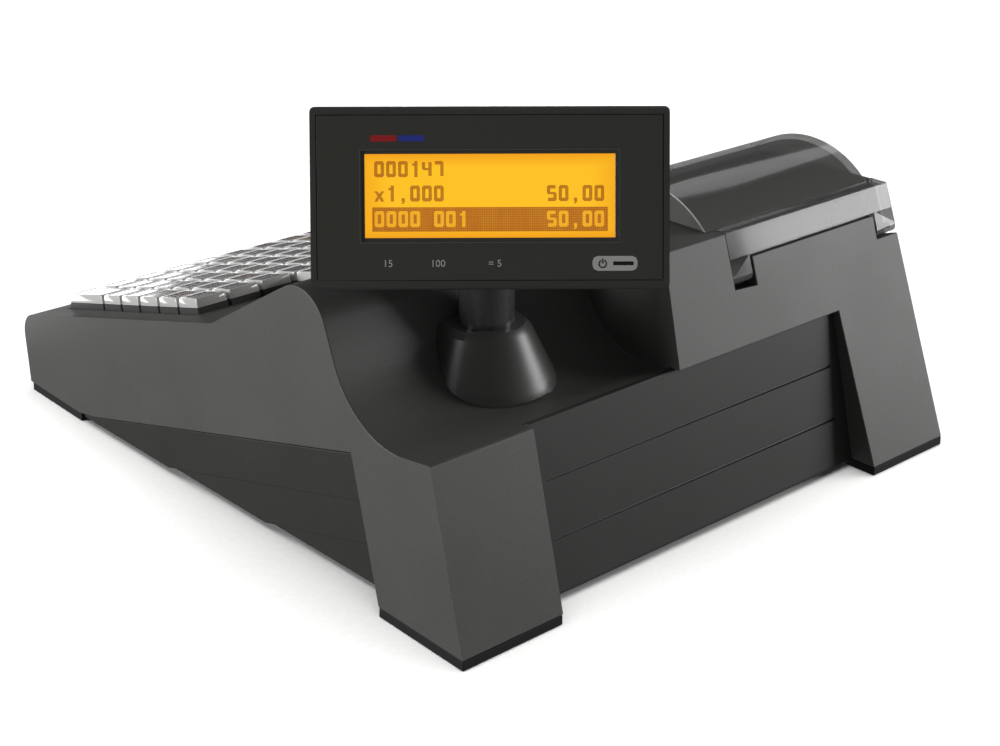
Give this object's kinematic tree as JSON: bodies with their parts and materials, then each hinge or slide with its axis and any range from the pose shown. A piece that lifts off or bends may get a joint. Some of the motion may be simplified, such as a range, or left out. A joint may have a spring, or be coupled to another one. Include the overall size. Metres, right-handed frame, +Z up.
{
  "type": "cash register",
  "caption": "Desktop cash register with a sloping keyboard, a swivelling lit customer display on a pole and a receipt printer under a clear domed lid.",
  "frame": {"origin": "centre of the four feet's footprint, on the desk", "axes": "+Z up, +X to the operator's right, +Y away from the operator, towards the customer"},
  "size_m": [0.3319, 0.3891, 0.2145],
  "materials": {
    "casing_plastic": "fine textured moulding",
    "lower_casing_plastic": "fine textured moulding",
    "pad_rubber": "matte",
    "screw_steel": "zinc plated",
    "frame_plastic": "plain moulding",
    "mat_rubber": "smooth silicone",
    "circuit_board": "solder mask",
    "window_plastic": "satin printed panel",
    "lit_lcd": "amber backlight, emissive",
    "pedestal_plastic": "satin moulding",
    "pole_lacquer": "gloss black lacquer",
    "pin_steel": "ground",
    "display_plastic": "fine textured moulding",
    "smoked_lid": "smoked clear moulding",
    "receipt_paper": "thermal paper",
    "core_card": "wound card",
    "printer_steel": "zinc plated sheet",
    "platen_rubber": "ground rubber",
    "gear_nylon": "moulded nylon",
    "pinion_brass": "cut",
    "socket_plastic": "plain moulding",
    "socket_shell": "tinned",
    "battery_wrap": "shrink wrap",
    "journal_case": "sealed case",
    "key_plastic": "clear caps over dark inserts"
  },
  "bodies": {
    "casing": {"upper_casing": "casing_plastic", "lower_casing": "lower_casing_plastic", "rear_foot_pads": "pad_rubber", "front_foot_pads": "pad_rubber", "case_screws": "screw_steel", "keyboard_frame": "frame_plastic", "keyboard_rubber_mat": "mat_rubber", "keyboard_board": "circuit_board", "operator_window": "window_plastic", "operator_lcd": "lit_lcd", "operator_board": "circuit_board", "pole_pedestal": "pedestal_plastic", "display_pole": "pole_lacquer", "pole_nut": "frame_plastic", "lid_hinge_pins": "pin_steel", "paper_bay": "frame_plastic", "printer_frame": "printer_steel", "print_head": "circuit_board", "head_spring": "pin_steel", "tear_bar": "printer_steel", "motor_body": "printer_steel", "main_board": "circuit_board", "power_socket": "socket_plastic", "data_sockets": "socket_shell", "battery_pack": "battery_wrap", "journal_module": "journal_case"},
    "lid": {"printer_lid": "smoked_lid"},
    "display_head": {"swivel_head": "pedestal_plastic"},
    "customer_display": {"display_rear_shell": "display_plastic", "display_front_bezel": "display_plastic", "display_panel": "window_plastic", "display_lcd": "lit_lcd", "display_board": "circuit_board", "display_screws": "screw_steel", "tilt_pin": "pin_steel"},
    "paper": {"paper_roll": "receipt_paper", "paper_core": "core_card"},
    "platen": {"platen_roller": "platen_rubber", "platen_shaft": "pin_steel", "platen_gear": "gear_nylon"},
    "idler": {"idler_gear": "gear_nylon"},
    "motor_rotor": {"motor_shaft": "pin_steel", "motor_pinion": "pinion_brass"},
    "keys_01": {"key_column_01": "key_plastic"},
    "keys_02": {"key_column_02": "key_plastic"},
    "keys_03": {"key_column_03": "key_plastic"},
    "keys_04": {"key_column_04": "key_plastic"},
    "keys_05": {"key_column_05": "key_plastic"},
    "keys_06": {"key_column_06": "key_plastic"},
    "keys_07": {"key_column_07": "key_plastic"},
    "keys_08": {"key_column_08": "key_plastic"},
    "keys_09": {"key_column_09": "key_plastic"},
    "keys_10": {"key_column_10": "key_plastic"},
    "keys_11": {"key_column_11": "key_plastic"},
    "keys_12": {"key_column_12": "key_plastic"},
    "keys_13": {"key_column_13": "key_plastic"},
    "keys_14": {"key_column_14": "key_plastic"},
    "keys_15": {"key_column_15": "key_plastic"}
  },
  "joints": [
    {"name": "lid_hinge", "type": "hinge", "parent": "casing", "child": "lid", "pos_m": [-0.0955, 0.14982, 0.11399], "axis": [-1, 0, 0], "range_deg": [0, 100]},
    {"name": "display_swivel", "type": "hinge", "parent": "casing", "child": "display_head", "pos_m": [0.0804, 0.107, 0.15], "axis": [0, 0, 1], "range_deg": [-110, 140]},
    {"name": "display_tilt", "type": "hinge", "parent": "display_head", "child": "customer_display", "pos_m": [0.08915, 0.11728, 0.163], "axis": [-0.7615, 0.6481, 0], "range_deg": [-20, 10]},
    {"name": "paper_spin", "type": "hinge", "parent": "casing", "child": "paper", "pos_m": [-0.095, 0.101, 0.0953], "axis": [1, 0, 0], "continuous": true},
    {"name": "platen_spin", "type": "hinge", "parent": "casing", "child": "platen", "pos_m": [-0.095, 0.048, 0.109], "axis": [1, 0, 0], "continuous": true},
    {"name": "idler_spin", "type": "hinge", "parent": "casing", "child": "idler", "pos_m": [-0.1416, 0.05683, 0.09372], "axis": [1, 0, 0], "continuous": true},
    {"name": "motor_spin", "type": "hinge", "parent": "casing", "child": "motor_rotor", "pos_m": [-0.1416, 0.04325, 0.08877], "axis": [1, 0, 0], "continuous": true},
    {"name": "keys_01_press", "type": "slide", "parent": "casing", "child": "keys_01", "axis": [0, 0.2647, -0.9643], "range_m": [0, 0.002], "stiffness_N_per_m": 400, "springref_m": -0.0015},
    {"name": "keys_02_press", "type": "slide", "parent": "casing", "child": "keys_02", "axis": [0, 0.2647, -0.9643], "range_m": [0, 0.002], "stiffness_N_per_m": 400, "springref_m": -0.0015},
    {"name": "keys_03_press", "type": "slide", "parent": "casing", "child": "keys_03", "axis": [0, 0.2647, -0.9643], "range_m": [0, 0.002], "stiffness_N_per_m": 400, "springref_m": -0.0015},
    {"name": "keys_04_press", "type": "slide", "parent": "casing", "child": "keys_04", "axis": [0, 0.2647, -0.9643], "range_m": [0, 0.002], "stiffness_N_per_m": 400, "springref_m": -0.0015},
    {"name": "keys_05_press", "type": "slide", "parent": "casing", "child": "keys_05", "axis": [0, 0.2647, -0.9643], "range_m": [0, 0.002], "stiffness_N_per_m": 400, "springref_m": -0.0015},
    {"name": "keys_06_press", "type": "slide", "parent": "casing", "child": "keys_06", "axis": [0, 0.2647, -0.9643], "range_m": [0, 0.002], "stiffness_N_per_m": 400, "springref_m": -0.0015},
    {"name": "keys_07_press", "type": "slide", "parent": "casing", "child": "keys_07", "axis": [0, 0.2647, -0.9643], "range_m": [0, 0.002], "stiffness_N_per_m": 400, "springref_m": -0.0015},
    {"name": "keys_08_press", "type": "slide", "parent": "casing", "child": "keys_08", "axis": [0, 0.2647, -0.9643], "range_m": [0, 0.002], "stiffness_N_per_m": 400, "springref_m": -0.0015},
    {"name": "keys_09_press", "type": "slide", "parent": "casing", "child": "keys_09", "axis": [0, 0.2647, -0.9643], "range_m": [0, 0.002], "stiffness_N_per_m": 400, "springref_m": -0.0015},
    {"name": "keys_10_press", "type": "slide", "parent": "casing", "child": "keys_10", "axis": [0, 0.2647, -0.9643], "range_m": [0, 0.002], "stiffness_N_per_m": 400, "springref_m": -0.0015},
    {"name": "keys_11_press", "type": "slide", "parent": "casing", "child": "keys_11", "axis": [0, 0.2647, -0.9643], "range_m": [0, 0.002], "stiffness_N_per_m": 400, "springref_m": -0.0015},
    {"name": "keys_12_press", "type": "slide", "parent": "casing", "child": "keys_12", "axis": [0, 0.2647, -0.9643], "range_m": [0, 0.002], "stiffness_N_per_m": 400, "springref_m": -0.0015},
    {"name": "keys_13_press", "type": "slide", "parent": "casing", "child": "keys_13", "axis": [0, 0.2647, -0.9643], "range_m": [0, 0.002], "stiffness_N_per_m": 400, "springref_m": -0.0015},
    {"name": "keys_14_press", "type": "slide", "parent": "casing", "child": "keys_14", "axis": [0, 0.2647, -0.9643], "range_m": [0, 0.002], "stiffness_N_per_m": 400, "springref_m": -0.0015},
    {"name": "keys_15_press", "type": "slide", "parent": "casing", "child": "keys_15", "axis": [0, 0.2647, -0.9643], "range_m": [0, 0.002], "stiffness_N_per_m": 400, "springref_m": -0.0015}
  ],
  "couplings": [
    {"joint": "idler_spin", "follows": "platen_spin", "ratio": -0.83333},
    {"joint": "motor_spin", "follows": "platen_spin", "ratio": 1.6667}
  ]
}
